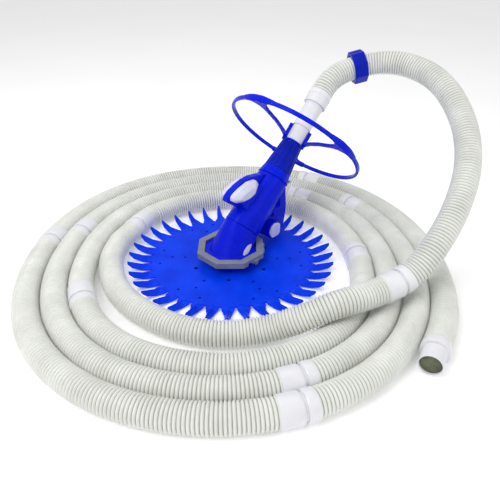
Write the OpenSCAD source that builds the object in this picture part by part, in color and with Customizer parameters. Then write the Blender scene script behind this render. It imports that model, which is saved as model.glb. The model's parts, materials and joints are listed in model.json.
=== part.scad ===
// Suction pool cleaner: a leaning tube body on a finned disc, with its deflector
// wheel and a ribbed suction hose that lies in a flat coil around the disc.
// Millimetres, +Z up. The origin is the middle of the foot pad, on the pool floor.
// The body leans towards +X, and the XZ plane is its plane of symmetry.

/* [Foot] */
// Diameter of the soft pad under the foot
pad_d = 118; // [110:1:122]
// Diameter of the water inlet through the foot
inlet_d = 54; // [50:1:56]
// Diameter of the shoe's hub that the disc turns on
hub_d = 96; // [90:1:98]

/* [Finned disc] */
// Diameter across the tips of the fins
disc_tip_d = 400; // [392:1:402]
// Diameter at the roots of the fins
disc_root_d = 310; // [304:1:314]
// Number of folded fins
fin_count = 36; // [30:1:36]
// Thickness of the disc
disc_t = 3; // [2.5:0.1:3.4]

/* [Locking ring] */
// Width across the outer flats of the octagon
ring_flats = 126; // [122:1:130]
// Width across the flats of the opening in its top
ring_opening = 99; // [97:1:101]

/* [Body] */
// Lean of the body's axis from the vertical, in degrees
lean = 46; // [44:1:48]
// Height at which the body's axis meets the vertical axis of the foot
pivot_z = 25; // [24:1:26]
// Outer diameter of the body tube
tube_d = 62; // [60:1:64]
// Inner diameter of the body tube
tube_bore = 54; // [52:1:55]

/* [Neck] */
// Outer diameter of the inner pipe
inner_pipe_d = 34; // [33:0.5:35]
// Outer diameter of the outer pipe, which the hose cuff fits
outer_pipe_d = 38; // [38:0.5:39]
// Lower diameter of the hand nut
nut_base_d = 56; // [54:1:58]
// Upper diameter of the hand nut
nut_top_d = 42; // [41:1:44]
// Number of grip ribs on the hand nut
nut_ribs = 14; // [8:1:16]

/* [Deflector wheel] */
// Outer diameter of the wheel's rim
wheel_d = 286; // [280:1:290]
// Width of the rim, measured from its inside to its outside
rim_w = 6; // [5:0.5:7]
// Depth of the rim along the body's axis
rim_h = 8; // [7:0.5:10]

/* [Hose] */
// Outer diameter of the ribbed hose
hose_d = 45.5; // [45:0.1:45.5]
// Outer radius of the coil
coil_r = 398; // [394:1:400]
// Radius of the space inside the coil
coil_hole_r = 247; // [245:1:248]

/* [Hidden] */

$fn = 96;
gap = 0.3;
run = 0.05;
eps = 0.01;

// heights in the foot, from the floor upwards
pad_t = 2.4;
shoe_t = 2.2;
disc_z = pad_t + shoe_t + 0.4;
flange_d = 104.2;
flange_z = 23.4;
seat_z = 28;
flange_t = 3.6;
ring_z = 24.2;
ring_h = 12;
fin_turn = 3.5;
lip_z = seat_z + flange_t + 2 * gap;

// distances along the body's leaning axis
boot_s = 49.4;
gasket_s = 46.6;
gasket_d = 58;
tube_low = boot_s + 0.35;
collar_s = 166;
nut_s = 184.4;
nut_len = 59.8;
hub_s = nut_s + nut_len + gap;
wheel_s = 255;
step_s = 283;
cuff_s = 336;
neck_s = 364;

// the wheel's broadest spoke, as an angle about the body's axis
web_angle = 35;

// colours
blue = "mediumblue";
deep_blue = "navy";
white = "whitesmoke";
hose_white = "ivory";
gray = "gray";

// carries children to a distance s along the body's axis, +Z along the axis
module on_axis(s = 0) {
    translate([0, 0, pivot_z])
        rotate([0, lean, 0])
            translate([0, 0, s])
                children();
}

// a pipe along Z
module pipe(d, bore, h) {
    difference() {
        cylinder(d = d, h = h);
        translate([0, 0, -1])
            cylinder(d = bore, h = h + 2);
    }
}

// a plate in the XZ plane with its middle on that plane
module side_plate(t) {
    rotate([90, 0, 0])
        linear_extrude(t, center = true)
            children();
}

// ---------- foot ----------

module foot_pad() {
    color("dimgray")
        pipe(pad_d, inlet_d, pad_t);
}

module foot_shoe() {
    color(blue)
        difference() {
            union() {
                translate([0, 0, pad_t])
                    cylinder(d = pad_d - 2, h = shoe_t);
                translate([0, 0, pad_t])
                    cylinder(d = hub_d, h = seat_z - pad_t);
                translate([0, 0, flange_z])
                    cylinder(d = flange_d, h = seat_z - flange_z);
            }
            cylinder(d = inlet_d, h = seat_z + 1);
        }
}

// one station across a folded fin: left edge, ridge and right edge, top then bottom
function fin_ring(r, half_w, ridge, drop, t) = [
    [r, -half_w, ridge - drop], [r, 0, ridge], [r, half_w, ridge - drop],
    [r, half_w, ridge - drop - t], [r, 0, ridge - t], [r, -half_w, ridge - drop - t]];

// side walls between station i and the next, for stations of n points
function wall_faces(i, n) = [
    for (j = [0:n - 1]) [i * n + j, i * n + (j + 1) % n, (i + 1) * n + (j + 1) % n, (i + 1) * n + j]];

module fin() {
    root = disc_root_d / 2;
    reach = disc_tip_d / 2 - root;
    top = disc_z + disc_t;
    stations = [
        fin_ring(root - 6, 12.4, top - 0.4, 0, disc_t - 0.8),
        fin_ring(root + 0.12 * reach, 11.4, top + 2, 3.5, 2.8),
        fin_ring(root + 0.42 * reach, 6.4, top + 6.5, 9.6, 2.8),
        fin_ring(root + 0.82 * reach, 4.6, top + 12, 9, 2.6),
        fin_ring(root + reach, 2.2, top + 14.5, 3.6, 2.4)];
    n = 6;
    last = len(stations) - 1;
    polyhedron(
        points = [for (s = stations) for (p = s) p],
        faces = concat(
            [[for (j = [n - 1:-1:0]) j]],
            [for (i = [0:last - 1]) for (w = wall_faces(i, n)) w],
            [[for (j = [0:n - 1]) last * n + j]]),
        convexity = 4);
}

module disc_holes() {
    for (k = [0:5])
        rotate([0, 0, 60 * k]) {
            rotate([0, 0, 42])
                translate([75, 0, 0])
                    cylinder(d = 8, h = 30, $fn = 32);
            for (spot = [[91, 12], [116, 12], [139, 2], [139, 22]])
                rotate([0, 0, spot[1]])
                    translate([spot[0], 0, 0])
                        cylinder(d = 5, h = 30, $fn = 24);
        }
}

module finned_disc() {
    color(blue)
        difference() {
            union() {
                translate([0, 0, disc_z])
                    cylinder(d = disc_root_d, h = disc_t, $fn = 180);
                for (k = [0:fin_count - 1])
                    rotate([0, 0, 360 / fin_count * k + fin_turn])
                        fin();
            }
            cylinder(d = hub_d + 2 * run, h = 40);
            disc_holes();
        }
}

// an octagonal prism with flats facing the camera side and the sides
module octagon(flats, h) {
    rotate([0, 0, 22.5])
        cylinder(d = flats / cos(22.5), h = h, $fn = 8);
}

module locking_ring() {
    color(gray)
        rotate([0, 0, -lean])
            difference() {
                union() {
                    translate([0, 0, ring_z])
                        octagon(ring_flats, ring_h);
                    rotate([0, 0, -38])
                        translate([57, -4, ring_z - 4])
                            cube([8, 8, 9]);
                    for (a = [-9, 9])
                        rotate([0, 0, a])
                            translate([61, 0, ring_z + 1.5])
                                cylinder(d = 11, h = ring_h - 3, $fn = 32);
                }
                translate([0, 0, ring_z - 5])
                    cylinder(d = flange_d + 4 * gap, h = lip_z - ring_z + 5);
                translate([0, 0, ring_z])
                    octagon(ring_opening, ring_h + 1);
                rotate([0, 0, -53])
                    translate([56, -5, ring_z - 1])
                        cube([12, 10, 6]);
            }
}

// ---------- body ----------

// cross-section of the body, with a second lobe towards its upper side
module body_section(d, lobe_d, offset_x) {
    linear_extrude(1) {
        circle(d = d, $fn = 48);
        translate([-offset_x, 0])
            circle(d = lobe_d, $fn = 48);
    }
}

module boot_form() {
    difference() {
        hull() {
            translate([0, 0, seat_z])
                cylinder(d = 83, h = 3, $fn = 48);
            on_axis(boot_s - 1)
                body_section(tube_d, 54, 22);
        }
        translate([0, 0, seat_z - 1])
            pipe(220, ring_opening - 1.8, ring_z + ring_h + 1.2 - seat_z);
    }
}

// the lens-shaped pocket on each side of the boot
module boot_lens(side) {
    lens_r = 23;
    spread = 17;
    on_axis(16)
        translate([-5, side * 44, 0])
            side_plate(20)
                rotate(-22)
                intersection() {
                    translate([-spread, 0])
                        circle(r = lens_r, $fn = 96);
                    translate([spread, 0])
                        circle(r = lens_r, $fn = 96);
                }
}

module lower_body() {
    color(blue)
        difference() {
            union() {
                boot_form();
                translate([0, 0, seat_z])
                    cylinder(d = flange_d, h = flange_t);
            }
            translate([0, 0, seat_z - 1])
                cylinder(d = inlet_d, h = 14);
            on_axis(6)
                cylinder(d = tube_bore, h = boot_s);
            on_axis(gasket_s)
                cylinder(d = gasket_d + 0.1, h = 6);
            boot_lens(-1);
            boot_lens(1);
        }
}

module boot_inset(side) {
    color(white)
        difference() {
            intersection() {
                boot_form();
                boot_lens(side);
            }
            translate([0, 0, seat_z - 1])
                cylinder(d = inlet_d, h = 60);
        }
}

module body_gasket() {
    color("black")
        on_axis(gasket_s + 0.05)
            pipe(gasket_d, tube_bore, 3);
}

// outside of the body tube, which widens towards its upper side lower down
module tube_form(grow) {
    hull() {
        on_axis(tube_low)
            body_section(tube_d + grow, 54 + grow, 22);
        on_axis(collar_s - 1.2)
            cylinder(d = tube_d + grow, h = 1, $fn = 48);
    }
}

module main_body() {
    color(blue)
        difference() {
            union() {
                tube_form(0);
                for (side = [-1, 1])
                    on_axis(tube_low + 1)
                        translate([-4, side * tube_d / 2 - 1.6, 0])
                            cube([3.2, 3.2, collar_s - tube_low - 3]);
            }
            on_axis(tube_low - 1)
                cylinder(d = tube_bore, h = collar_s);
        }
}

module body_collar() {
    color(blue)
        on_axis(collar_s)
            difference() {
                union() {
                    cylinder(d1 = 66, d2 = 64, h = 3);
                    translate([0, 0, 3])
                        cylinder(d1 = 64, d2 = 57, h = nut_s - collar_s - 3 - gap);
                    cylinder(d = 46, h = 30);
                }
                translate([0, 0, -1])
                    cylinder(d = inner_pipe_d + 6, h = 40);
            }
}

module collar_screws() {
    color("silver")
        for (side = [-1, 1])
            on_axis(collar_s + 9)
                translate([14, side * 30, 0])
                    rotate([side * -90, 0, 0]) {
                        cylinder(d = 6, h = 2, $fn = 32);
                        translate([0, 0, -2])
                            cylinder(d = 3, h = 3, $fn = 32);
                    }
}

// ---------- works inside the body ----------

module cassette_cage() {
    color(white)
        on_axis(52)
            difference() {
                union() {
                    pipe(tube_bore - 0.6, 48, 4);
                    translate([0, 0, 60])
                        pipe(tube_bore - 0.6, 48, 4);
                    for (k = [0:3])
                        rotate([0, 0, 45 + 90 * k])
                            translate([24, -3, 3])
                                cube([2.6, 6, 58]);
                }
                translate([0, 0, -1])
                    cylinder(d = 47.8, h = 70);
            }
}

// the sleeve that opens and closes as the water pulses through it
module diaphragm() {
    color("black")
        on_axis(56)
            rotate_extrude()
                polygon([[22.5, 0], [23.6, 0], [23.6, 4], [15, 26], [15, 32], [18.6, 48],
                    [18.6, 52], [17.4, 52], [17.4, 48], [13.6, 32], [13.6, 26], [22.5, 4]]);
}

module diaphragm_ring() {
    color(white)
        on_axis(102)
            pipe(42, 37.6, 5);
}

module pipe_seal() {
    color("black")
        on_axis(nut_s - 4)
            pipe(inner_pipe_d + 5.6, inner_pipe_d + 0.02, 3.4);
}

// ---------- float on the upper side ----------

// outline of the float's crest, as (height above the axis, distance along it)
crest = [[-90, 69], [-94, 76], [-93, 88], [-87, 104], [-78, 121], [-67, 135], [-48, 150],
    [-27, 163], [-24, 100], [-40, 84], [-66, 72]];
// outline of the block under the panels, which joins the crest to the tube
saddle = [[-66, 82], [-64, 96], [-58, 112], [-48, 126], [-30, 136], [-24, 136], [-24, 86],
    [-44, 78]];
// outline of a side panel where it meets the crest, and of its crown further out
panel_foot = [[-88, 75], [-92, 80], [-91, 89], [-85, 104], [-75, 122], [-60, 135], [-48, 133],
    [-44, 116], [-50, 99], [-64, 84], [-78, 76]];
panel_crown = [[-80, 84], [-80, 93], [-74, 106], [-66, 117], [-58, 120], [-53, 112], [-59, 99],
    [-68, 89]];
crest_w = 13;
saddle_w = 34;
panel_y = crest_w / 2 + 0.1;

// the domed side of the float, shrunk by inset
module dome(side, inset) {
    on_axis()
        hull() {
            translate([0, side * (panel_y + 0.5), 0])
                side_plate(1)
                    offset(delta = -inset)
                        polygon(panel_foot);
            translate([0, side * 15, 0])
                side_plate(1)
                    offset(delta = -inset)
                        polygon(panel_foot);
            translate([0, side * (24 - inset), 0])
                side_plate(1)
                    offset(delta = -inset / 2)
                        polygon(panel_crown);
        }
}

module float_panel(side) {
    color(white)
        difference() {
            dome(side, 0);
            dome(side, 2.4);
            on_axis()
                side_plate(saddle_w + 0.2)
                    offset(delta = 0.1)
                        polygon(saddle);
            tube_form(0.6);
        }
}

module float_housing() {
    color(blue)
        difference() {
            on_axis()
                union() {
                    side_plate(crest_w)
                        polygon(crest);
                    side_plate(saddle_w)
                        polygon(saddle);
                }
            tube_form(0.3);
            on_axis(collar_s - gap)
                cylinder(d = 67, h = 60);
        }
}

module float_foam() {
    color("lightgray")
        for (side = [-1, 1])
            difference() {
                dome(side, 3);
                on_axis()
                    side_plate(saddle_w + 0.8)
                        offset(delta = 0.4)
                            polygon(saddle);
                tube_form(2);
            }
}

// ---------- keel on the lower side ----------

pod_x = 60;
pod_s = 83;
pod_r = 19;
pod_w = 50;

module keel_frame() {
    color(blue)
        difference() {
            union() {
                on_axis()
                    side_plate(14)
                        polygon([[27, 160], [34, 170], [44, 171], [81.5, 140], [96, 121], [108, 103],
                            [102, 98], [90, 86], [78, 76], [52, 64], [27, 64]]);
                on_axis(pod_s)
                    translate([pod_x, pod_w / 2, 0])
                        rotate([90, 0, 0])
                            cylinder(r = pod_r, h = pod_w);
            }
            on_axis()
                side_plate(40)
                    polygon([[36, 150], [43, 148], [60, 132], [48, 119], [36, 128]]);
            on_axis(108)
                translate([53, 20, 0])
                    rotate([90, 0, 0])
                        cylinder(d = 8, h = 40, $fn = 32);
            on_axis(pod_s)
                translate([pod_x, pod_w / 2 + 1, 0])
                    rotate([90, 0, 0])
                        cylinder(r = pod_r - 3.5, h = pod_w + 2);
            on_axis(-20)
                cylinder(d = tube_d, h = 250);
            on_axis(collar_s - gap)
                cylinder(d = 67, h = 60);
        }
}

module keel_cap(side) {
    color(white)
        on_axis(pod_s)
            translate([pod_x, side * (pod_w / 2 - 1), 0])
                rotate([side * -90, 0, 0]) {
                    cylinder(r = pod_r - 3.6, h = 1, $fn = 64);
                    translate([0, 0, 1])
                        linear_extrude(3)
                            rotate(side * -lean)
                                offset(r = 8, $fn = 32)
                                    square([11, 13], center = true);
                }
}

module ballast_weight() {
    color("dimgray")
        on_axis(pod_s)
            translate([pod_x, pod_w / 2 - 2, 0])
                rotate([90, 0, 0])
                    cylinder(r = pod_r - 3.7, h = pod_w - 4);
}

module keel_screws() {
    color("silver")
        for (s = [96, 146])
            on_axis(s)
                translate([tube_d / 2 + 3.5, 7, 0])
                    rotate([-90, 0, 0])
                        cylinder(d = 5.5, h = 1.6, $fn = 32);
}

// ---------- neck ----------

module hand_nut() {
    slope = atan((nut_base_d - nut_top_d) / 2 / nut_len);
    color(deep_blue)
        on_axis(nut_s)
            difference() {
                union() {
                    cylinder(d1 = nut_base_d - 2, d2 = nut_top_d - 2, h = nut_len);
                    cylinder(d = nut_base_d, h = 3);
                    for (k = [0:nut_ribs - 1])
                        rotate([0, 0, 360 / nut_ribs * (k + 0.5)])
                            translate([nut_base_d / 2 - 3.4, -2.2, 2])
                                rotate([0, -slope, 0])
                                    cube([3.4, 4.4, nut_len - 3]);
                }
                translate([0, 0, -1])
                    cylinder(d = inner_pipe_d + 2 * run, h = nut_len + 2);
                translate([0, 0, -1])
                    cylinder(d = 46.6, h = 14);
            }
}

module inner_pipe() {
    color(white)
        on_axis(110)
            pipe(inner_pipe_d, inner_pipe_d - 4, step_s - 110 + 12);
}

module outer_pipe() {
    color(white)
        on_axis(step_s)
            pipe(outer_pipe_d, inner_pipe_d + 0.1, cuff_s - step_s + 20);
}

module rim_arc(from, to, r_in, r_out, h) {
    rotate([0, 0, from])
        translate([0, 0, -h / 2])
            rotate_extrude(angle = to - from, $fn = 180)
                translate([r_in, 0])
                    square([r_out - r_in, h]);
}

// a curved spoke from a prong's foot out to the rim, where it flares; side mirrors it
module spoke(side) {
    translate([0, 0, -3])
        linear_extrude(5)
            mirror([0, side > 0 ? 0 : 1])
                polygon([[10.6, 13], [36, 2.6], [70, -4], [104, -5], [118, -8], [128, -17], [134, -30],
                    [139.6, -12], [140.4, 0], [139.6, 12], [134, 30], [128, 17], [118, 8],
                    [104, 4.6], [70, 5.2], [40, 11], [17, 19.5]]);
}

module deflector_wheel() {
    rim_r = wheel_d / 2;
    hub_r = 20.4;
    hub_h = 5;
    prong_h = 37;
    color(blue)
        difference() {
            union() {
                on_axis(hub_s)
                    cylinder(r = hub_r, h = hub_h);
                on_axis(wheel_s - rim_h / 2)
                    pipe(wheel_d, wheel_d - 2 * rim_w, rim_h);
                for (side = [-1, 1])
                    on_axis(wheel_s)
                        rotate([0, 0, web_angle - 140 * side]) {
                            spoke(side);
                            for (k = [0:3])
                                rim_arc(3 * k - 15, 15 - 3 * k, rim_r - rim_w + 1 + 0.3 * k,
                                    rim_r + 0.5 + 0.3 * k, rim_h + 1.4 + 1.4 * k);
                        }
                on_axis(wheel_s)
                    rotate([0, 0, web_angle]) {
                        rim_arc(-16, 16, rim_r - rim_w + 1.4, rim_r + 1, 11);
                        translate([0, 0, -2.4])
                            linear_extrude(4)
                                polygon([[17, -17], [30, -16], [52, -11], [90, -14], [118, -24],
                                    [134, -40], [139, -26], [140.5, 0], [139, 26], [134, 40], [118, 24],
                                    [90, 14], [52, 11], [30, 16], [17, 17]]);
                    }
                on_axis(hub_s)
                    rotate([0, 0, web_angle])
                        translate([15, -13, 0.5])
                            cube([10, 26, wheel_s - hub_s]);
                on_axis(hub_s)
                    for (a = [web_angle + 90, web_angle - 90])
                        rotate([0, 0, a])
                            translate([15, -4.6, 0.5])
                                cube([9.4, 9.2, prong_h]);
            }
            on_axis(hub_s - 1)
                cylinder(d = inner_pipe_d + 2 * run, h = hub_h + 1);
            on_axis(hub_s + hub_h - 0.5)
                cylinder(d = inner_pipe_d + 2 * gap, h = 60);
        }
}

// ---------- hose ----------

// middle line of the hose from the neck's cuff to the coil's last turn
lead_route = [
    [262.2, 0, 278.2], [277.6, 0, 293], [297, -4, 305], [319, -13, 314], [343, -27, 321],
    [363, -48, 327], [378, -74, 331], [387, -104, 331], [389, -135, 327], [386, -166, 320],
    [377, -197, 308], [364, -226, 292], [345, -255, 272], [322, -280, 252], [296, -301, 230],
    [266, -318, 208], [234, -330, 186], [200, -338, 163], [166, -342, 140], [132, -342, 117],
    [104, -338, 96], [80, -330, 81], [56, -322, 75], [30, -313, 72], [2, -303, 71],
    [-26, -291, 71], [-54, -274, 66], [-85, -250, 50], [-117, -219, 32], [-148, -191, 23.5],
    [-180, -162, 22.75], [-204, -130, 22.75], [-221, -92, 22.75], [-231, -48, 22.75],
    [-234, -6, 22.75], [-230, 36, 22.75], [-218, 76, 22.75], [-202, 109, 22.75],
    [-180, 142, 22.75], [-152, 169, 22.75], [-118, 193, 22.75], [-81, 213, 22.75]];
// middle line of the hose's open end, from the coil's first turn to its cuff
tail_route = [
    [216, -321, 22.75], [190, -342, 22.75], [162, -362, 22.75], [133, -380, 22.75],
    [100, -393, 22.75], [66, -404, 22.75], [38, -413.5, 22.75], [10, -423, 22.75]];
coil_centre = [-14, -1];
hole_centre = [-37, -14];
hose_sides = 12;
weight_at = 4;
coupling_at = 22;

function unit(v) = v / norm(v);
function travel(route, i) = unit(route[min(i + 1, len(route) - 1)] - route[max(i - 1, 0)]);
function across(t) = unit(cross([0, 0, 1], t));

// one ring of the hose about a point of its route
function hose_ring(p, t, r) =
    let (side = across(t), up = cross(t, side))
        [for (k = [0:hose_sides - 1])
            p + r * cos(360 / hose_sides * k) * side + r * sin(360 / hose_sides * k) * up];

module hose_tube(route) {
    n = hose_sides;
    last = len(route) - 1;
    polyhedron(
        points = [for (i = [0:last]) for (p = hose_ring(route[i], travel(route, i), hose_d / 2)) p],
        faces = concat(
            [[for (j = [n - 1:-1:0]) j]],
            [for (i = [0:last - 1]) for (w = wall_faces(i, n)) w],
            [[for (j = [0:n - 1]) last * n + j]]),
        convexity = 6);
}

// carries children to a point of a route, +Z along the hose
module on_hose(route, i) {
    t = travel(route, i);
    translate(route[i])
        rotate([0, acos(t[2]), atan2(t[1], t[0])])
            children();
}

module hose_cuff() {
    color(white)
        on_axis(cuff_s)
            difference() {
                union() {
                    cylinder(d = 46, h = neck_s - cuff_s - gap);
                    translate([0, 0, 18])
                        cylinder(d = 47, h = 3);
                }
                translate([0, 0, -1])
                    cylinder(d = outer_pipe_d + 0.1, h = 22);
                cylinder(d = inner_pipe_d, h = 60);
            }
}

module lead_hose() {
    color(hose_white)
        hose_tube(lead_route);
}

// half of the clamp-on weight: above or below its split
module hose_weight(side) {
    color(blue)
        on_hose(lead_route, weight_at)
            intersection() {
                difference() {
                    translate([0, 0, -13])
                        octagon(60, 26);
                    translate([0, 0, -14])
                        cylinder(d = hose_d + 2, h = 28);
                    for (a = [0:90:270])
                        rotate([0, 0, a])
                            translate([29, -5, -6])
                                cube([6, 10, 12]);
                }
                translate([-40, side > 0 ? gap / 2 : -40, -20])
                    cube([80, 40 - gap / 2, 40]);
            }
}

module hose_weight_screws() {
    color("silver")
        on_hose(lead_route, weight_at)
            for (x = [-9, 9])
                translate([x, 30.05, 0])
                    rotate([-90, 0, 0])
                        cylinder(d = 4.5, h = 1.6, $fn = 32);
}

module lead_coupling() {
    color(white)
        on_hose(lead_route, coupling_at)
            translate([0, 0, -27])
                difference() {
                    union() {
                        cylinder(d = 48.6, h = 33);
                        cylinder(d = 47.4, h = 40);
                        translate([0, 0, 37])
                            cylinder(d = 48.6, h = 17);
                    }
                    translate([0, 0, -1])
                        cylinder(d = hose_d + 0.6, h = 60);
                }
}

module hose_coil() {
    rim = 14;
    inner = 120;
    color(hose_white)
        difference() {
            translate(coil_centre)
                rotate_extrude($fn = 180)
                    polygon([[inner, 0], [coil_r - rim, 0], [coil_r, rim], [coil_r, hose_d - rim],
                        [coil_r - rim, hose_d], [inner, hose_d]]);
            translate([hole_centre[0], hole_centre[1], -1])
                cylinder(r = coil_hole_r, h = hose_d + 2, $fn = 180);
        }
}

module tail_hose() {
    color(hose_white)
        hose_tube(tail_route);
}

module tail_cuff() {
    last = len(tail_route) - 1;
    color(white)
        on_hose(tail_route, last)
            difference() {
                union() {
                    translate([0, 0, gap])
                        cylinder(d = 45.5, h = 24);
                    translate([0, 0, 20])
                        cylinder(d = 38, h = 32);
                }
                translate([0, 0, 6])
                    cylinder(d = 33, h = 60);
            }
}

foot_pad();
foot_shoe();
finned_disc();
locking_ring();
lower_body();
body_gasket();
main_body();
body_collar();
collar_screws();
cassette_cage();
diaphragm();
diaphragm_ring();
float_housing();
float_panel(1);  // float_panel_left
float_panel(-1);  // float_panel_right
float_foam();
keel_frame();
keel_screws();
keel_cap(1);  // keel_cap_left
keel_cap(-1);  // keel_cap_right
ballast_weight();
boot_inset(1);  // boot_inset_left
boot_inset(-1);  // boot_inset_right
pipe_seal();
hand_nut();
inner_pipe();
outer_pipe();
deflector_wheel();
hose_cuff();
lead_hose();
hose_weight(1);  // hose_weight_upper
hose_weight(-1);  // hose_weight_lower
hose_weight_screws();
lead_coupling();
hose_coil();
tail_hose();
tail_cuff();
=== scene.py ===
"""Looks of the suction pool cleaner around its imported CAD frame.

Each part gets a procedural material, the mouldings get soft edges, and the hose gets its ribs and couplings.
"""

import json
import math

import bpy
import numpy as np
from mathutils import Euler, Matrix, Vector


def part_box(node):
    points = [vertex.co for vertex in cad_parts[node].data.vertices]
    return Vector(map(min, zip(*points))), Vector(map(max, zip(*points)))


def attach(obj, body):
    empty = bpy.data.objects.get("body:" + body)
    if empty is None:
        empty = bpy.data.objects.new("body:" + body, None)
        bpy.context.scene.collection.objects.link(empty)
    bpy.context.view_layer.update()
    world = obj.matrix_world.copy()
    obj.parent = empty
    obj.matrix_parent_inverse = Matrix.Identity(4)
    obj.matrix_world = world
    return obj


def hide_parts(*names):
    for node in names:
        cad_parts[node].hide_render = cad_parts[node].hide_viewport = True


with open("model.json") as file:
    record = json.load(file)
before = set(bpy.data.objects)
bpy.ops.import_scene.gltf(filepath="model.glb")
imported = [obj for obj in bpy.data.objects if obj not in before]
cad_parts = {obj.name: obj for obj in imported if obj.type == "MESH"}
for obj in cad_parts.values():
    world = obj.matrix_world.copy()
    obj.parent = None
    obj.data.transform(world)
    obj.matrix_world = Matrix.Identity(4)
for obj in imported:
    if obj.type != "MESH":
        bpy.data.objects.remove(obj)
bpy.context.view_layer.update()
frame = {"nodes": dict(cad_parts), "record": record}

BASE = "cleaner"

# ---------------------------------------------------------------- materials


def new_material(name):
    """A material with its tree, shader and output."""
    m = bpy.data.materials.new(name)
    m.use_nodes = True
    tree = m.node_tree
    shader = tree.nodes["Principled BSDF"]
    return m, tree, shader


def node(tree, kind, **values):
    """A new node, with its inputs and settings given by name."""
    n = tree.nodes.new(kind)
    for key, value in values.items():
        if key in n.inputs:
            n.inputs[key].default_value = value
        else:
            setattr(n, key, value)
    return n


def ramp(tree, source, stops):
    """A colour ramp fed by source, with (place, colour or grey) stops."""
    r = tree.nodes.new("ShaderNodeValToRGB")
    while len(r.color_ramp.elements) < len(stops):
        r.color_ramp.elements.new(0.5)
    for e, (place, value) in zip(r.color_ramp.elements, stops):
        e.position = place
        e.color = (value, value, value, 1) if isinstance(value, float) else (*value, 1)
    tree.links.new(source, r.inputs["Fac"])
    return r.outputs["Color"]


def plastic(
    name,
    low,
    high,
    rough=0.3,
    rough_span=0.12,
    grain=0.0006,
    grain_scale=900.0,
    dirt=None,
    coat=0.0,
    subsurface=0.0,
    spec=0.3,
):
    """Moulded plastic: slow colour drift, scuffed roughness and a fine surface grain.

    dirt is the colour, the amount and the noise scale of its spots.
    """
    m, t, b = new_material(name)
    place = node(t, "ShaderNodeTexCoord").outputs["Object"]
    drift = node(t, "ShaderNodeTexNoise", Scale=22.0, Detail=4.0, Roughness=0.55)
    t.links.new(place, drift.inputs["Vector"])
    colour = ramp(t, drift.outputs["Fac"], [(0.3, low), (0.7, high)])
    if dirt:
        tint, amount, spot_scale = dirt
        spots = node(t, "ShaderNodeTexNoise", Scale=spot_scale, Detail=8.0, Roughness=0.7)
        t.links.new(place, spots.inputs["Vector"])
        mask = ramp(t, spots.outputs["Fac"], [(0.5, 0.0), (0.72, amount)])
        mix = node(t, "ShaderNodeMix", data_type="RGBA")
        t.links.new(mask, mix.inputs[0])
        t.links.new(colour, mix.inputs[6])
        mix.inputs[7].default_value = (*tint, 1)
        colour = mix.outputs[2]
    t.links.new(colour, b.inputs["Base Color"])
    scuff = node(t, "ShaderNodeTexNoise", Scale=140.0, Detail=7.0, Roughness=0.65)
    t.links.new(place, scuff.inputs["Vector"])
    roughness = [(0.35, max(0.03, rough - rough_span / 2)), (0.68, rough + rough_span / 2)]
    t.links.new(ramp(t, scuff.outputs["Fac"], roughness), b.inputs["Roughness"])
    fine = node(t, "ShaderNodeTexNoise", Scale=grain_scale, Detail=3.0, Roughness=0.5)
    t.links.new(place, fine.inputs["Vector"])
    bump = node(t, "ShaderNodeBump", Strength=0.35, Distance=grain)
    t.links.new(fine.outputs["Fac"], bump.inputs["Height"])
    t.links.new(bump.outputs["Normal"], b.inputs["Normal"])
    b.inputs["Coat Weight"].default_value = coat
    b.inputs["Coat Roughness"].default_value = 0.08
    b.inputs["Specular IOR Level"].default_value = spec
    if subsurface:
        b.inputs["Subsurface Weight"].default_value = subsurface
        b.inputs["Subsurface Radius"].default_value = (0.004, 0.0035, 0.003)
        b.inputs["Subsurface Scale"].default_value = 1.0
    return m


def steel(name):
    """Zinc-plated screw steel with fine turning marks."""
    m, t, b = new_material(name)
    place = node(t, "ShaderNodeTexCoord").outputs["Object"]
    marks = node(t, "ShaderNodeTexNoise", Scale=600.0, Detail=5.0)
    t.links.new(place, marks.inputs["Vector"])
    t.links.new(ramp(t, marks.outputs["Fac"], [(0.3, 0.22), (0.7, 0.4)]), b.inputs["Roughness"])
    tone = [(0.3, (0.5, 0.5, 0.51)), (0.7, (0.66, 0.66, 0.66))]
    t.links.new(ramp(t, marks.outputs["Fac"], tone), b.inputs["Base Color"])
    b.inputs["Metallic"].default_value = 1.0
    return m


BLUE = plastic(
    "body_blue", (0.0, 0.008, 0.6), (0.001, 0.014, 0.76),
    rough=0.24, coat=0.03, spec=0.09, dirt=((0.01, 0.03, 0.55), 0.25, 60.0),
)
DISC = plastic(
    "disc_blue", (0.0, 0.034, 0.7), (0.002, 0.055, 0.9),
    rough=0.36, rough_span=0.16, spec=0.08, dirt=((0.012, 0.06, 0.72), 0.3, 45.0),
)
NAVY = plastic(
    "nut_blue", (0.0, 0.008, 0.34), (0.001, 0.014, 0.46),
    rough=0.34, spec=0.1, dirt=((0.01, 0.03, 0.4), 0.25, 70.0),
)
GRAY = plastic(
    "ring_gray", (0.17, 0.185, 0.22), (0.235, 0.25, 0.29),
    rough=0.38, dirt=((0.28, 0.29, 0.32), 0.35, 90.0),
)
PANEL = plastic(
    "panel_white", (0.62, 0.62, 0.78), (0.72, 0.72, 0.86),
    rough=0.22, coat=0.2, subsurface=0.06, dirt=((0.5, 0.5, 0.6), 0.3, 60.0),
)
WORKS = plastic(
    "works_white", (0.66, 0.66, 0.64), (0.75, 0.75, 0.73),
    rough=0.42, dirt=((0.5, 0.48, 0.42), 0.3, 80.0),
)
CUFF = plastic(
    "cuff_white", (0.74, 0.74, 0.78), (0.82, 0.82, 0.85),
    rough=0.2, coat=0.2, grain=0.0001, dirt=((0.66, 0.66, 0.66), 0.12, 50.0),
)
HOSE = plastic(
    "hose_ivory", (0.69, 0.7, 0.66), (0.81, 0.82, 0.78),
    rough=0.32, rough_span=0.14, grain=0.00015, dirt=((0.56, 0.57, 0.5), 0.2, 30.0),
)
# painted shade: a darker hose colour for the faces at each groove's foot, with dirt spots
GROOVE_SHADE_AND_DIRT = plastic(
    "hose_groove_shade_and_dirt", (0.36, 0.365, 0.33), (0.48, 0.485, 0.45),
    rough=0.45, grain=0.00015, dirt=((0.2, 0.2, 0.15), 0.4, 45.0),
)
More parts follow.
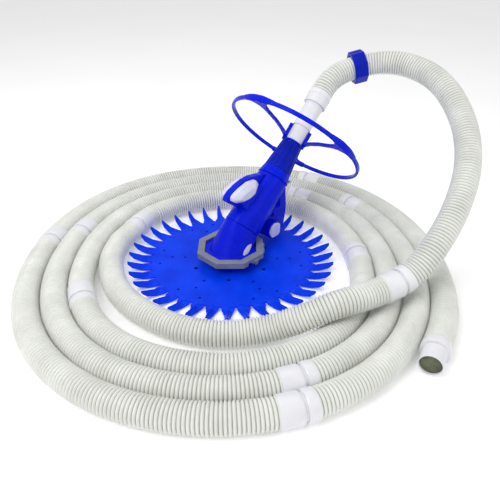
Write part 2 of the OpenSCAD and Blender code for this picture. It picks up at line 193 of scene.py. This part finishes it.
# painted shade: a dark colour for the open cuff's inside and the disc that closes it, with dirt spots
HOSE_IN_SHADE_AND_DIRT = plastic(
    "hose_inside_shade_and_dirt", (0.1, 0.115, 0.07), (0.2, 0.215, 0.14),
    rough=0.5, dirt=((0.05, 0.06, 0.03), 0.6, 90.0),
)
RUBBER = plastic(
    "black_rubber", (0.01, 0.01, 0.011), (0.025, 0.025, 0.027),
    rough=0.6, dirt=((0.09, 0.09, 0.085), 0.3, 120.0),
)
PAD = plastic(
    "foot_rubber", (0.02, 0.021, 0.023), (0.045, 0.046, 0.05),
    rough=0.62, dirt=((0.12, 0.12, 0.115), 0.4, 100.0),
)
FOAM = plastic("foam", (0.55, 0.55, 0.52), (0.66, 0.66, 0.63), rough=0.85, grain=0.002, grain_scale=500.0)
IRON = plastic(
    "ballast", (0.035, 0.035, 0.036), (0.08, 0.078, 0.075),
    rough=0.55, grain=0.002, dirt=((0.12, 0.07, 0.04), 0.4, 60.0),
)
STEEL = steel("screw_steel")

SLOTS = {
    "body_blue": BLUE,
    "disc_blue": DISC,
    "nut_blue": NAVY,
    "ring_gray": GRAY,
    "panel_white": PANEL,
    "works_white": WORKS,
    "cuff_white": CUFF,
    "hose_ivory": HOSE,
    "black_rubber": RUBBER,
    "foot_rubber": PAD,
    "foam": FOAM,
    "ballast": IRON,
    "screw_steel": STEEL,
}

NODE_SLOTS = {part["node"]: part["material_slot"] for part in frame["record"]["subparts"]}
for cad_node, slot in NODE_SLOTS.items():
    mesh = frame["nodes"][cad_node].data
    mesh.materials.clear()
    mesh.materials.append(SLOTS[slot])

# ---------------------------------------------------------------- geometry helpers


def make(name, verts, faces, material, angle=None):
    """A smooth mesh object from points in metres. Bends of more than angle degrees stay sharp."""
    mesh = bpy.data.meshes.new(name)
    mesh.from_pydata([tuple(v) for v in verts], [], faces)
    mesh.validate()
    mesh.materials.append(material)
    o = bpy.data.objects.new(name, mesh)
    bpy.context.scene.collection.objects.link(o)
    mesh.shade_smooth()
    if angle is not None:
        mesh.set_sharp_from_angle(angle=math.radians(angle))
    return o


def catmull(points, step):
    """A smooth line through points, resampled at an even step."""
    p = np.array(points, float)
    q = np.vstack([2 * p[0] - p[1], p, 2 * p[-1] - p[-2]])
    out = []
    for i in range(1, len(q) - 2):
        a, b, c, d = q[i - 1 : i + 3]
        for t in np.linspace(0, 1, 24, endpoint=False):
            square = 2 * a - 5 * b + 4 * c - d
            cube = 3 * b - a - 3 * c + d
            out.append(0.5 * (2 * b + (c - a) * t + square * t**2 + cube * t**3))
    out.append(p[-1])
    line = np.array(out)
    run = np.r_[0, np.cumsum(np.linalg.norm(np.diff(line, axis=0), axis=1))]
    s = np.linspace(0, run[-1], max(2, int(round(run[-1] / step)) + 1))
    return np.column_stack([np.interp(s, run, line[:, k]) for k in range(3)])


def smooth_line(line, passes):
    """Evens out the bends of a line, with both ends kept."""
    p = line.copy()
    for _ in range(passes):
        p[1:-1] = 0.5 * p[1:-1] + 0.25 * (p[:-2] + p[2:])
    return p


def line_frames(line):
    """Unit tangents and two unit normals that turn as little as possible along a line."""
    t = np.gradient(line, axis=0)
    t /= np.linalg.norm(t, axis=1)[:, None]
    n = np.zeros_like(t)
    first = np.cross([0, 0, 1.0], t[0])
    n[0] = first / np.linalg.norm(first)
    for i in range(1, len(t)):
        v = n[i - 1] - t[i] * (n[i - 1] @ t[i])
        n[i] = v / np.linalg.norm(v)
    return t, n, np.cross(t, n)


class Run:
    """A line with its length and frames, to sweep rings along."""

    def __init__(self, line):
        self.line = line
        self.s = np.r_[0, np.cumsum(np.linalg.norm(np.diff(line, axis=0), axis=1))]
        self.t, self.n, self.b = line_frames(line)
        self.length = self.s[-1]

    def at(self, s):
        """Point and frame at distance s, with the line carried on straight past its ends."""
        s = np.asarray(s, float)
        inside = np.clip(s, 0, self.length)
        p = np.column_stack([np.interp(inside, self.s, self.line[:, k]) for k in range(3)])
        out = []
        for f in (self.t, self.n, self.b):
            v = np.column_stack([np.interp(inside, self.s, f[:, k]) for k in range(3)])
            out.append(v / np.linalg.norm(v, axis=1)[:, None])
        return p + out[0] * (s - inside)[:, None], out[0], out[1], out[2]

    def sweep(self, name, profile, material, sides=32, closed=False, angle=None):
        """Rings of (distance, radius) along the line, flat where they would go below the floor.

        A closed profile joins its last ring to its first.
        """
        s = np.array([x[0] for x in profile])
        r = np.array([x[1] for x in profile])
        p, _, n, b = self.at(s)
        a = np.linspace(0, 2 * math.pi, sides, endpoint=False)
        outward = np.cos(a)[None, :, None] * n[:, None, :] + np.sin(a)[None, :, None] * b[:, None, :]
        verts = (p[:, None, :] + r[:, None, None] * outward).reshape(-1, 3)
        verts[:, 2] = np.maximum(verts[:, 2], 0.0)
        faces = []
        rings = len(profile)
        for i in range(rings if closed else rings - 1):
            j = (i + 1) % rings
            for k in range(sides):
                m = (k + 1) % sides
                faces.append((i * sides + k, i * sides + m, j * sides + m, j * sides + k))
        if not closed:
            faces.append(tuple(range(sides - 1, -1, -1)))
            faces.append(tuple((rings - 1) * sides + k for k in range(sides)))
        return make(name, verts, faces, material, angle=angle)


# ---------------------------------------------------------------- moulded body

LEAN = math.radians(46)
PIVOT_Z = 0.025
# the body's own axes, and the ring's, which the CAD turns by the same angle about the vertical
AXIS_FRAME = Matrix.Translation((0, 0, PIVOT_Z)) @ Matrix.Rotation(LEAN, 4, "Y")
RING_FRAME = Matrix.Rotation(-LEAN, 4, "Z")


def settled(o):
    """Swaps an object's mesh for what its modifiers make of it."""
    dg = bpy.context.evaluated_depsgraph_get()
    mesh = bpy.data.meshes.new_from_object(o.evaluated_get(dg))
    o.modifiers.clear()
    o.data = mesh
    return o


def moulded(name, source, body, voxel=0.0009, passes=10, place=AXIS_FRAME):
    """A copy of a CAD node with the soft edges of a moulding, which stands for that node."""
    part = frame["nodes"][source]
    mesh = part.data.copy()
    mesh.transform(place.inverted())
    o = bpy.data.objects.new(name, mesh)
    bpy.context.scene.collection.objects.link(o)
    remesh = o.modifiers.new("remesh", "REMESH")
    remesh.mode = "VOXEL"
    remesh.voxel_size = voxel
    remesh.use_smooth_shade = True
    ease = o.modifiers.new("ease", "SMOOTH")
    ease.factor = 0.5
    ease.iterations = passes
    settled(o)
    o.data.transform(place)
    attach(o, body)
    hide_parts(source)
    return o


FLAT = Matrix.Identity(4)
moulded("boot_skin", "lower_body", BASE, voxel=0.0007, passes=8, place=FLAT)
moulded("tube_skin", "main_body", BASE)
moulded("float_skin", "float_housing", BASE, voxel=0.0008, passes=12)
moulded("keel_skin", "keel_frame", BASE)
moulded("collar_skin", "body_collar", BASE, voxel=0.0007, passes=8)
moulded("wheel_skin", "deflector_wheel", "wheel", voxel=0.0009, passes=14)
moulded("nut_skin", "hand_nut", "nut", voxel=0.0007, passes=5)
moulded("ring_skin", "locking_ring", "ring", voxel=0.0006, passes=5, place=RING_FRAME)
for side in ("left", "right"):
    moulded("panel_skin_" + side, "float_panel_" + side, BASE, voxel=0.0008, passes=30)
    moulded("cap_skin_" + side, "keel_cap_" + side, BASE, voxel=0.0006, passes=8)
    moulded("inset_skin_" + side, "boot_inset_" + side, BASE, voxel=0.0005, passes=5)
weight_halves = [
    moulded("weight_skin_upper", "hose_weight_upper", BASE, voxel=0.0008, passes=5, place=FLAT),
    moulded("weight_skin_lower", "hose_weight_lower", BASE, voxel=0.0008, passes=5, place=FLAT),
]

# ---------------------------------------------------------------- hose

HOSE_D = 0.0455
PITCH = 0.00575
RIB_DEPTH = 0.0027
RIB_SIDES = 28
COUPLING = 0.054
COUPLING_PROUD = 0.0012

# points of the hose from the neck, over its first loop and down to the floor
LEAD = [
    (0.2622, 0, 0.2782), (0.2776, 0, 0.293), (0.297, -0.004, 0.305), (0.319, -0.013, 0.314),
    (0.343, -0.027, 0.321), (0.363, -0.048, 0.327), (0.378, -0.074, 0.331), (0.387, -0.104, 0.331),
    (0.389, -0.135, 0.327), (0.386, -0.166, 0.320), (0.377, -0.197, 0.308), (0.364, -0.226, 0.292),
    (0.345, -0.255, 0.272), (0.322, -0.280, 0.252), (0.296, -0.301, 0.230), (0.266, -0.318, 0.208),
    (0.234, -0.330, 0.186), (0.200, -0.338, 0.163), (0.166, -0.342, 0.140), (0.132, -0.342, 0.117),
    (0.104, -0.338, 0.096), (0.080, -0.330, 0.081), (0.056, -0.322, 0.075), (0.030, -0.313, 0.072),
    (0.002, -0.303, 0.071), (-0.026, -0.291, 0.071), (-0.054, -0.274, 0.066), (-0.085, -0.250, 0.050),
    (-0.117, -0.219, 0.032), (-0.148, -0.191, 0.0235), (-0.180, -0.162, 0.02275), (-0.204, -0.130, 0.02275),
    (-0.221, -0.092, 0.02275), (-0.231, -0.048, 0.02275), (-0.234, -0.006, 0.02275), (-0.230, 0.036, 0.02275),
    (-0.218, 0.076, 0.02275), (-0.202, 0.109, 0.02275), (-0.180, 0.142, 0.02275), (-0.152, 0.169, 0.02275),
    (-0.118, 0.193, 0.02275),
]
COIL_CENTRE = (-0.0245, -0.0192)
# the coil's angles are counted from the camera's right, which is this many degrees clockwise of +X
COIL_TURN = 46.4
COIL_R = 0.398
# how far the coil closes in over a turn, and how far it is pulled in at 0 and 180 degrees of each turn
COIL_STEP = 0.046
COIL_FLATTEN = 0.024
COIL_OPEN_END = -36
COIL_INNER_END = 1218


def coil_point(angle):
    """A point of the coil's middle line, at an angle in degrees between its two ends."""
    c = math.cos(math.radians(angle))
    r = COIL_R - COIL_STEP * (angle - 90) / 360 - COIL_FLATTEN * c**4
    a = math.radians(angle - COIL_TURN)
    return (COIL_CENTRE[0] + r * math.cos(a), COIL_CENTRE[1] + r * math.sin(a), HOSE_D / 2)


COIL = [coil_point(a) for a in range(COIL_INNER_END, COIL_OPEN_END - 1, -6)]
lead_line = smooth_line(catmull(LEAD, 0.004), 6)
whole = smooth_line(catmull(list(lead_line[::4]) + COIL, 0.003), 4)
whole[0] = LEAD[0]
hose = Run(whole)


def nearest(x, y, z):
    """Distance along the hose of its point closest to (x, y, z)."""
    return float(hose.s[np.argmin(np.linalg.norm(hose.line - np.array([x, y, z]), axis=1))])


def ribbed(name, start, end):
    """A stretch of ribbed hose between two distances, with closed ends and a rounded rib on each pitch."""
    count = max(1, int(round((end - start) / PITCH)))
    pitch = (end - start) / count
    outer = HOSE_D / 2
    shape = ((0.0, 0.0), (0.12, 0.12), (0.25, 0.78), (0.4, 1.0), (0.6, 1.0), (0.75, 0.78), (0.88, 0.12))
    profile = []
    for i in range(count):
        for place, height in shape:
            profile.append((start + (i + place) * pitch, outer - RIB_DEPTH * (1 - height)))
    profile.append((end, outer - RIB_DEPTH))
    piece = hose.sweep(name, profile, HOSE, sides=RIB_SIDES)
    # the two bands of faces at each groove's foot get the darker groove material: painted shade of the
    # hollow, with dirt spots of its own
    piece.data.materials.append(GROOVE_SHADE_AND_DIRT)
    bands = len(profile) - 1
    for i in range(bands):
        if i % len(shape) in (0, len(shape) - 1):
            for k in range(RIB_SIDES):
                piece.data.polygons[i * RIB_SIDES + k].material_index = 1
    return piece


def coupling(name, middle):
    """A hose coupling: short collar, groove and long cuff. A length of hose goes into each end."""
    outer = HOSE_D / 2 + COUPLING_PROUD
    start = middle - COUPLING / 2
    shape = [
        (0.0, -0.002), (0.0006, -0.0006), (0.0025, 0.0), (0.014, 0.0), (0.0154, -0.0002),
        (0.0169, -0.0014), (0.0172, -0.0042), (0.0212, -0.0042), (0.0215, -0.0014), (0.023, -0.0003),
        (0.0255, 0.0), (0.052, 0.0), (0.0534, -0.0004), (0.054, -0.0016),
    ]
    profile = [(start + along, outer + step) for along, step in shape]
    return hose.sweep(name, profile, CUFF, sides=48, angle=40)


# where length 1 ends, and where lengths 2 to 11 end by their couplings' angles round the coil
LEAD_JOIN = LEAD[22]
JOIN_ANGLES = [1225, 1082, 926, 779, 649, 521, 399, 286, 169, 62]
# how far a length goes into a coupling, and so how far from the coupling's middle it stops
INSERT = 0.003
STOP_SHORT = COUPLING / 2 - INSERT
joins = [nearest(*LEAD_JOIN)] + [nearest(*coil_point(a)) for a in JOIN_ANGLES]
stops = [0.0] + joins + [hose.length]
couplings = [coupling("coupling_%02d" % (i + 1), s) for i, s in enumerate(joins)]
sections = []
for i in range(len(stops) - 1):
    a = stops[i] + (STOP_SHORT if i else 0.0)
    b = stops[i + 1] - (STOP_SHORT if i < len(joins) else 0.0)
    piece = ribbed("hose_section_%02d" % (i + 1), a, b)
    sections.append((piece, a, b))

# open cuff at the free end
tail = Run(np.array([hose.line[-1] + hose.t[-1] * d for d in (0.0, 0.02, 0.04, 0.053)]))
tail_cuff = tail.sweep(
    "open_cuff",
    [
        (0.0, 0.0215), (0.0006, 0.0232), (0.002, 0.0238), (0.016, 0.0238), (0.0178, 0.0232),
        (0.0182, 0.0196), (0.0196, 0.0192), (0.046, 0.0188), (0.0476, 0.0184), (0.048, 0.0178),
        (0.0476, 0.0172), (0.046, 0.0168), (0.006, 0.0166),
    ],
    CUFF, sides=64, closed=True, angle=40,
)
# a dark lining and end disc inside the open cuff, as painted shade of its hollow
tail_shade_lining = tail.sweep(
    "open_cuff_shade_lining", [(0.0445, 0.01655), (0.007, 0.0165), (0.007, 0.001)],
    HOSE_IN_SHADE_AND_DIRT, sides=48,
)

# each length hangs from the body; the coupling at its far end, or the open cuff on the last, is listed as its
# mate, with the hose weight on the first
for i, (piece, a, b) in enumerate(sections):
    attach(piece, BASE)
    last = i == len(sections) - 1
    mates = [tail_cuff, tail_shade_lining] if last else [couplings[i]]
    if i == 0:
        mates += [weight_halves[0], weight_halves[1], "hose_weight_screws"]
for c in couplings + [tail_cuff, tail_shade_lining]:
    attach(c, BASE)
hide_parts("lead_hose")
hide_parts("hose_coil")
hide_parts("tail_hose")
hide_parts("lead_coupling")
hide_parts("tail_cuff")

# ---------------------------------------------------------------- stage

# half the floor's width, in metres
FLOOR_HALF = 9
# the floor is in deep shade under the disc, out to this share of the disc's tip radius
SHADED_SHARE = 0.74
FLOOR_GLOW = 0.2
WORLD_LIGHT = 0.6


def floor_material():
    """Pale matt floor, faintly lit, and dark where only the disc's small holes show it."""
    m, t, b = new_material("floor_pale")
    place = node(t, "ShaderNodeTexCoord").outputs["Object"]
    drift = node(t, "ShaderNodeTexNoise", Scale=3.0, Detail=3.0)
    t.links.new(place, drift.inputs["Vector"])
    pale = ramp(t, drift.outputs["Fac"], [(0.3, (0.93, 0.93, 0.93)), (0.7, (0.95, 0.95, 0.95))])
    middle = node(t, "ShaderNodeVectorMath", operation="LENGTH")
    t.links.new(place, middle.inputs[0])
    lit = node(t, "ShaderNodeMath", operation="GREATER_THAN")
    lit.inputs[1].default_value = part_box("finned_disc")[1][0] * SHADED_SHARE
    t.links.new(middle.outputs["Value"], lit.inputs[0])
    tone = node(t, "ShaderNodeMix", data_type="RGBA")
    t.links.new(lit.outputs[0], tone.inputs[0])
    tone.inputs[6].default_value = (0.01, 0.01, 0.06, 1)
    t.links.new(pale, tone.inputs[7])
    t.links.new(tone.outputs[2], b.inputs["Base Color"])
    glow = node(t, "ShaderNodeMath", operation="MULTIPLY")
    glow.inputs[1].default_value = FLOOR_GLOW
    t.links.new(lit.outputs[0], glow.inputs[0])
    t.links.new(glow.outputs[0], b.inputs["Emission Strength"])
    b.inputs["Roughness"].default_value = 0.75
    b.inputs["Specular IOR Level"].default_value = 0.2
    b.inputs["Emission Color"].default_value = (1, 1, 1, 1)
    return m


corners = [(x * FLOOR_HALF, y * FLOOR_HALF, 0) for x, y in ((-1, -1), (1, -1), (1, 1), (-1, 1))]
floor_mesh = bpy.data.meshes.new("floor")
floor_mesh.from_pydata(corners, [], [(0, 1, 2, 3)])
floor_mesh.materials.append(floor_material())
floor = bpy.data.objects.new("floor", floor_mesh)
bpy.context.scene.collection.objects.link(floor)

world = bpy.context.scene.world or bpy.data.worlds.new("world")
bpy.context.scene.world = world
world.use_nodes = True
world.node_tree.nodes["Background"].inputs["Color"].default_value = (1, 1, 1, 1)
world.node_tree.nodes["Background"].inputs["Strength"].default_value = WORLD_LIGHT


def area(name, place, aim, size, power):
    """A square area light at place that faces aim."""
    data = bpy.data.lights.new(name, "AREA")
    data.size = size
    data.energy = power
    o = bpy.data.objects.new(name, data)
    o.location = place
    o.rotation_euler = (Vector(aim) - Vector(place)).to_track_quat("-Z", "Y").to_euler()
    bpy.context.scene.collection.objects.link(o)


# key light from the camera's upper left, a large fill from the right and a soft light overhead
area("key", (-1.3, -0.1, 1.7), (0.05, 0, 0.1), 1.0, 17)
area("fill", (0.6, -1.9, 1.2), (0.05, 0, 0.1), 1.6, 6)
area("top", (0.2, 0.5, 2.2), (0.05, 0, 0), 1.8, 10)

# the camera's place, its tilt up from straight down and its focal length in millimetres
CAMERA_PLACE = (-0.5996, -0.6229, 0.573)
CAMERA_TILT = 57.67
CAMERA_LENS = 37.54

camera_data = bpy.data.cameras.new("camera")
camera_data.lens = CAMERA_LENS
camera_data.sensor_width = 36
camera_data.clip_end = 60
camera = bpy.data.objects.new("camera", camera_data)
camera.location = CAMERA_PLACE
camera.rotation_euler = Euler((math.radians(CAMERA_TILT), 0, math.radians(-COIL_TURN)))
bpy.context.scene.collection.objects.link(camera)
bpy.context.scene.camera = camera
bpy.context.scene.view_settings.view_transform = "Standard"
